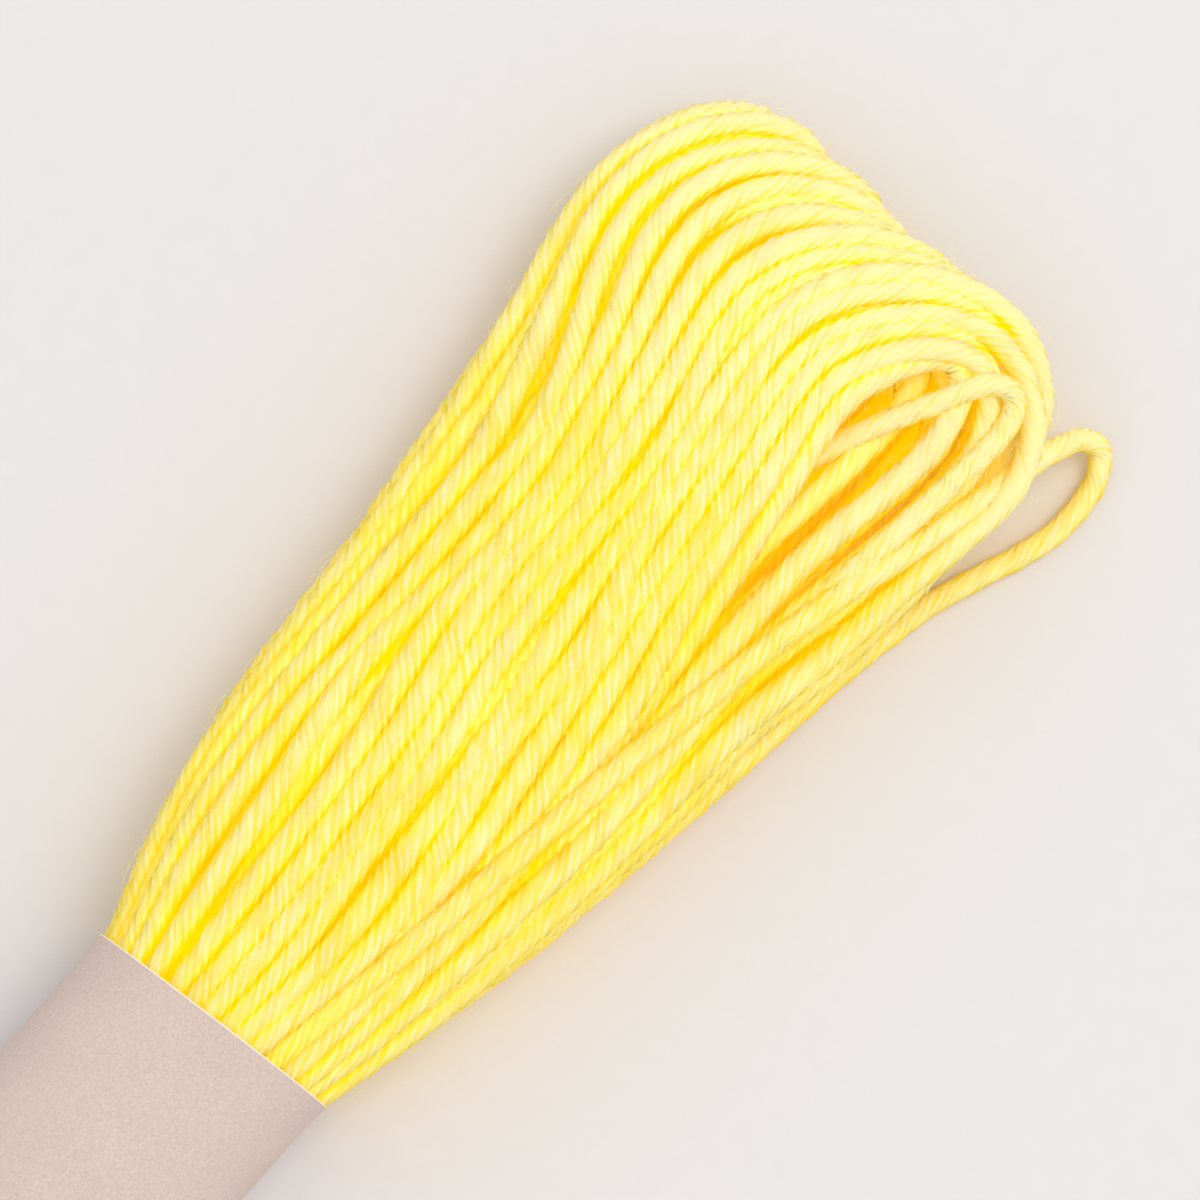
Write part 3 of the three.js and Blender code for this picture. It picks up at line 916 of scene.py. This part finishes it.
def thread_finish(settings):
    """Mercerised cotton: painted highlights on crests, painted shade in gaps, fine fibres along each ply.

    The place on the ramp from pale to the shade colour grows with painted shade: with shelter, on the
    under side and in the grooves; it also moves with the fibres' unevenness, the thread's own tone, and
    painted light on the fanned end takes it back towards pale. The most sheltered places get painted
    shade in the gap colour with a sharp edge, and a painted glow, faint everywhere and stronger round
    them, stands in for light that comes through the thread.
    """
    shader = Shader("yellow_thread")
    uv = shader.node("ShaderNodeUVMap", {"uv_map": "thread"})["UV"]
    place, position = shader.split(uv), shader.split(shader.spot)
    length, around = place["X"], place["Y"]
    depth, under = (
        shader.node("ShaderNodeAttribute", {"attribute_name": name})["Fac"] for name in ("depth", "under")
    )
    # crest is 1 on a ply's crest and 0 in its groove: grooves get painted shade, crests a painted highlight
    crest = (around * (2 * np.pi * settings.plies)).math("COSINE") * 0.5 + 0.5
    fibre = shader.noise(shader.vector(length * FIBRE_CELLS[0], around * FIBRE_CELLS[1], 0.0), 1.0, 3.0, 0.6)
    ply = shader.noise(shader.vector(length * PLY_CELLS, around * settings.plies, 5.0), 1.0, 1.0)
    patch = shader.noise(shader.spot, PATCH_CELLS, 2.0)
    strand = shader.noise(shader.vector(length * STRAND_CELLS, 0.0, 9.0), 1.0, 1.0)
    uneven = (0.5 - fibre) * 1.7 + (0.5 - ply) * 0.8 + (0.5 - strand) * 0.6
    # lifted rises from 0 at the surface below, so the stronger painted glow and the painted light on the
    # fanned end are weaker near the floor
    lifted = (position["Z"] / LIT_ABOVE).clamp()
    # Painted light: the fanned end, where the light falls, is painted paler
    painted_end_light = ((position["X"] - LIT_END_FROM) / LIT_END_OVER).clamp() * lifted
    # Painted shade in the most sheltered gaps between strands, with a sharp edge and less on the crests
    painted_gap_mask = depth * (0.55 + patch * 0.9) - GAP_SHADE_FROM - painted_end_light * 0.05
    painted_gap_mask = (painted_gap_mask * GAP_SHADE_SHARP - (crest - 0.5) * 0.4).clamp()
    # Painted glow round sheltered places, standing in for light that comes through the thread
    painted_glow_mask = (depth * (0.4 + patch * 1.7) - GLOW_FROM).clamp()
    # Painted shade: grows with shelter, on the under side and in the grooves, less where painted light falls
    # on the end; the fibres' unevenness is the thread's own tone
    painted_shade_and_tone = (0.12 + depth * 0.55 + under * 0.5 + (1 - crest) * 0.28 + uneven - painted_end_light * 0.35).clamp()
    stops = ((0.0, settings.pale), (1.0, settings.painted_shade_gold), (0.40, settings.lemon))
    color = shader.node("ShaderNodeValToRGB", {"stops": stops}, (painted_shade_and_tone,))["Color"]
    normal = shader.grain(0.35, fibre)
    shader.material.cycles.emission_sampling = "NONE"
    return shader.surface(
        # Base colour with the painted gap shade; emission is a painted glow, faint everywhere and stronger
        # where sheltered
        Base_Color=shader.mix(painted_gap_mask, color, settings.painted_gap_shade),
        Roughness=0.62 + fibre * 0.2,
        Normal=normal,
        Emission_Color=shader.mix(painted_glow_mask * lifted * 0.8 + 0.2, (0.0, 0.0, 0.0), settings.glow),
        Emission_Strength=1.0,
        Specular_IOR_Level=0.1,
    )


def paper_finish(settings):
    """Uncoated beige paper: cloudy tone, short fibres, and pale bare fibres along the cut ends."""
    shader = Shader("beige_paper")
    place = shader.split(shader.spot)
    cloud = shader.noise(shader.spot, CLOUD_CELLS, 3.0)
    fibre = shader.noise(shader.spot, PAPER_CELLS, 2.0, 0.6)
    tone = (0.5 + (cloud - 0.5) * 0.5 + (fibre - 0.5) * 1.6).clamp()
    face = shader.shades(tone, settings.beige, 0.86, 1.14)
    square = place["X"] + place["Y"] * np.tan(settings.skew)
    end = (square.math("ABSOLUTE") - (BAND_HIGH[0] * MM - CUT_WIDTH)) / CUT_BLEND
    color = shader.mix(end.clamp(), face, settings.cut)
    return shader.surface(Base_Color=color, Roughness=0.9, Normal=shader.grain(0.25, fibre))


def floor_finish(color):
    """Plain pale floor with a faint even grain."""
    shader = Shader("pale_floor")
    grain = shader.noise(shader.spot, FLOOR_CELLS, 2.0)
    return shader.surface(Base_Color=shader.shades(grain, color, 0.985, 1.015), Roughness=0.9)


def finish_thread(piece, settings, *nodes):
    """Thread finish, slot and body of a piece that stands for the given solids."""
    material = bpy.data.materials.get("yellow_thread") or thread_finish(settings)
    piece.data.materials.append(material)
    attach(piece, "root")
    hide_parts(*nodes)


# Operators


class SKEIN_OT_stage(bpy.types.Operator):
    """Adds the camera, a pale floor and soft studio light"""

    bl_idname = "skein.stage"
    bl_label = "Stage"

    def execute(self, context):
        stage = context.scene.skein_stage
        self.add_camera(context, stage)
        self.add_floor(stage)
        self.add_light(context, stage)
        return {"FINISHED"}

    def add_camera(self, context, stage):
        """Looks down at the fanned half, leaning towards the picture's lower edge."""
        back = Vector((0, 0, 1)) * np.cos(stage.lean) - PICTURE_UP * np.sin(stage.lean)
        back.normalize()
        lens_up = back.cross(PICTURE_RIGHT).normalized()
        data = bpy.data.cameras.new("camera")
        data.sensor_width = 36
        data.lens = data.sensor_width * stage.distance / stage.view_width
        data.clip_start, data.clip_end = 0.01, 10
        camera = bpy.data.objects.new("camera", data)
        turn = Matrix((PICTURE_RIGHT.normalized(), lens_up, back)).transposed()
        place = Matrix.Translation(LOOK_AT * MM + back * stage.distance)
        camera.matrix_world = place @ turn.to_4x4()
        context.scene.collection.objects.link(camera)
        context.scene.camera = camera

    def add_floor(self, stage):
        """A wide square under the skein."""
        corners = np.array([(-1, -1, 0), (1, -1, 0), (1, 1, 0), (-1, 1, 0)]) * FLOOR_REACH
        floor = new_mesh("floor", corners + np.array([0, 0, FLOOR_TOP]), np.array([[0, 1, 2, 3]]))
        floor.data.materials.append(floor_finish(stage.floor))

    def add_light(self, context, stage):
        """A large soft lamp off to the picture's right, and even light all round."""
        world = context.scene.world or bpy.data.worlds.new("studio")
        context.scene.world = world
        world.use_nodes = True
        background = world.node_tree.nodes["Background"]
        background.inputs["Color"].default_value = (1.0, 0.99, 0.98, 1.0)
        background.inputs["Strength"].default_value = stage.fill
        data = bpy.data.lights.new("key", "AREA")
        data.shape, data.size = "SQUARE", LAMP_SIDE
        data.energy = stage.key
        data.color = (1.0, 0.98, 0.95)
        lamp = bpy.data.objects.new("key", data)
        lamp.location = LAMP_AT
        lamp.rotation_mode = "QUATERNION"
        lamp.rotation_quaternion = (LAMP_AIM - LAMP_AT).to_track_quat("-Z", "Y")
        context.scene.collection.objects.link(lamp)
        context.scene.view_settings.view_transform = "Standard"


class SKEIN_OT_slack_turn(bpy.types.Operator):
    """Lays the slack turn: both its legs from the band, and its bight beside the loop's end"""

    bl_idname = "skein.slack_turn"
    bl_label = "Slack turn"

    def execute(self, context):
        thread = context.scene.skein_thread
        skein = skein_of(thread)
        piece, line = routed_piece(
            "slack_turn_thread", thread, SLACK_ROUTE, skein["phase"][-1], SLACK_COVER, SLACK_NESTED,
        )
        finish_thread(piece, thread, "slack_turn")
        return {"FINISHED"}


class SKEIN_OT_turns(bpy.types.Operator):
    """Winds the turns: outer ones in full, inner ones in coarser rings, and one across the eye"""

    bl_idname = "skein.turns"
    bl_label = "Turns"

    def execute(self, context):
        thread = context.scene.skein_thread
        skein = skein_of(thread)
        shell = skein["shell"]
        face = np.nonzero(skein["layer"] == 0)[0]
        edge = np.nonzero((shell == 0) & (skein["layer"] > 0))[0]
        sides = 2 * thread.plies
        step = thread.lead / MM / sides
        groups = (
            ("turns_face_1", face[::2], sides, step),
            ("turns_face_2", face[1::2], sides, step),
            ("turns_edge_1", edge[::2], sides, step),
            ("turns_edge_2", edge[1::2], sides, step),
            ("turns_second", np.nonzero(shell == 1)[0], *SECOND_RINGS),
            ("turns_core", np.nonzero(shell > 1)[0], *CORE_RINGS),
        )
        for name, chosen, corners, spacing in groups:
            piece = thread_piece(name, turn_tubes(thread, chosen, corners, spacing), spacing)
            finish_thread(piece, thread, "hank")
        dropped, _ = routed_piece(
            "turn_across_eye", thread, DROPPED_ROUTE, skein["phase"][0], DROPPED_COVER, DROPPED_NESTED,
        )
        finish_thread(dropped, thread, "hank")
        return {"FINISHED"}


class SKEIN_OT_stray_fibres(bpy.types.Operator):
    """Adds the loose fibres that stand off the turns"""

    bl_idname = "skein.stray_fibres"
    bl_label = "Stray fibres"

    def execute(self, context):
        thread = context.scene.skein_thread
        skein = skein_of(thread)
        piece = stray_fibres(skein, thread.fibres, thread.fine / MM, thread.seed)
        finish_thread(piece, thread, "hank")
        return {"FINISHED"}


class SKEIN_OT_paper_band(bpy.types.Operator):
    """Wraps the bare paper band round the middle, with a glued overlap"""

    bl_idname = "skein.paper_band"
    bl_label = "Paper band"

    def execute(self, context):
        band = context.scene.skein_band
        piece = self.wrap(band.thickness / MM, band.overlap / MM, np.tan(band.skew))
        piece.data.materials.append(paper_finish(band))
        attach(piece, "root")
        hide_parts("paper_band")
        return {"FINISHED"}

    def wrap(self, thick, overlap, skew):
        """A strip carried round the band's oval, a little more than once, its end over its start.

        The strip starts underneath, tucked in by one thickness for as far as its end covers it,
        its two mouths flare a little, and its cut ends slant by the skew.
        """
        size = BAND_HIGH - BAND_LOW
        oval = {
            "left": BAND_HIGH[1] - DRAWN_LEFT, "right": -BAND_LOW[1] - DRAWN_RIGHT,
            "top": BAND_HIGH[2], "base": BAND_LOW[2],
        }
        ring = outline(oval, np.radians(np.linspace(*SEAM_ANGLES, 241)))
        length = np.concatenate([[0], np.cumsum(np.linalg.norm(np.diff(ring, axis=0), axis=1))])
        around = np.linspace(0, length[-1] + overlap, 300)
        middle = np.stack([np.interp(around % length[-1], length, ring[:, k]) for k in range(2)], 1)
        slope = unit(np.gradient(middle, axis=0))
        outward = np.stack([slope[:, 1], -slope[:, 0]], 1)
        tuck = np.clip((overlap + TUCK_OVER - around) / TUCK_OVER, 0, 1)[:, None] * thick * TUCK_SHARE
        x = BAND_LOW[0] + size[0] * (1 - np.cos(np.linspace(0, np.pi, 61))) / 2
        flare = FLARE * np.clip((np.abs(x) - FLARE_FROM) / FLARE_OVER, 0, 1) ** 2
        skins = []
        for offset in (0.0, -thick):
            lift = flare[None] - tuck + offset
            across = middle[:, None] + outward[:, None] * lift[..., None]
            across[..., 1] = np.maximum(across[..., 1], BAND_LOW[2] + BAND_LIFT + tuck - offset)
            along_x = x[None, :, None] - skew * across[..., :1]
            skins.append(np.concatenate([along_x, across], -1))
        rows, columns = skins[0].shape[:2]
        points = np.concatenate([skin.reshape(-1, 3) for skin in skins])
        grid = np.arange(rows * columns).reshape(rows, columns)
        sheet = np.stack([grid[:-1, :-1], grid[1:, :-1], grid[1:, 1:], grid[:-1, 1:]], -1).reshape(-1, 4)
        rim = np.concatenate([grid[0], grid[1:, -1], grid[-1, -2::-1], grid[-2:0:-1, 0]])
        ahead = np.roll(rim, -1)
        shift = rows * columns
        wall = np.stack([rim, ahead, ahead + shift, rim + shift], 1)
        faces = np.concatenate([sheet, (sheet + shift)[:, ::-1], wall])
        return new_mesh("paper_band_wrap", points, faces)


class SKEIN_PT_panel(bpy.types.Panel):
    """Sizes, colours and pieces of the skein"""

    bl_label = "Sashiko Skein"
    bl_idname = "SKEIN_PT_panel"
    bl_space_type = "VIEW_3D"
    bl_region_type = "UI"
    bl_category = "Skein"

    def draw(self, context):
        scene = context.scene
        for group, operators in (
            (scene.skein_stage, (SKEIN_OT_stage,)),
            (scene.skein_thread, (SKEIN_OT_slack_turn, SKEIN_OT_turns, SKEIN_OT_stray_fibres)),
            (scene.skein_band, (SKEIN_OT_paper_band,)),
        ):
            box = self.layout.box()
            for name in group.__annotations__:
                box.prop(group, name)
            for operator in operators:
                box.operator(operator.bl_idname)


SETTINGS = {
    "skein_thread": SkeinThreadSettings,
    "skein_band": SkeinBandSettings,
    "skein_stage": SkeinStageSettings,
}
OPERATORS = (
    SKEIN_OT_stage, SKEIN_OT_slack_turn, SKEIN_OT_turns, SKEIN_OT_stray_fibres, SKEIN_OT_paper_band,
)


def register():
    for group in SETTINGS.values():
        bpy.utils.register_class(group)
    for name, group in SETTINGS.items():
        setattr(bpy.types.Scene, name, PointerProperty(type=group))
    for operator in OPERATORS:
        bpy.utils.register_class(operator)
    bpy.utils.register_class(SKEIN_PT_panel)


def unregister():
    bpy.utils.unregister_class(SKEIN_PT_panel)
    for operator in reversed(OPERATORS):
        bpy.utils.unregister_class(operator)
    for name, group in SETTINGS.items():
        delattr(bpy.types.Scene, name)
        bpy.utils.unregister_class(group)


def main():
    """Builds every piece in order."""
    register()
    bpy.ops.skein.stage()
    bpy.ops.skein.slack_turn()
    bpy.ops.skein.turns()
    bpy.ops.skein.stray_fibres()
    bpy.ops.skein.paper_band()


if __name__ == "__main__":
    main()
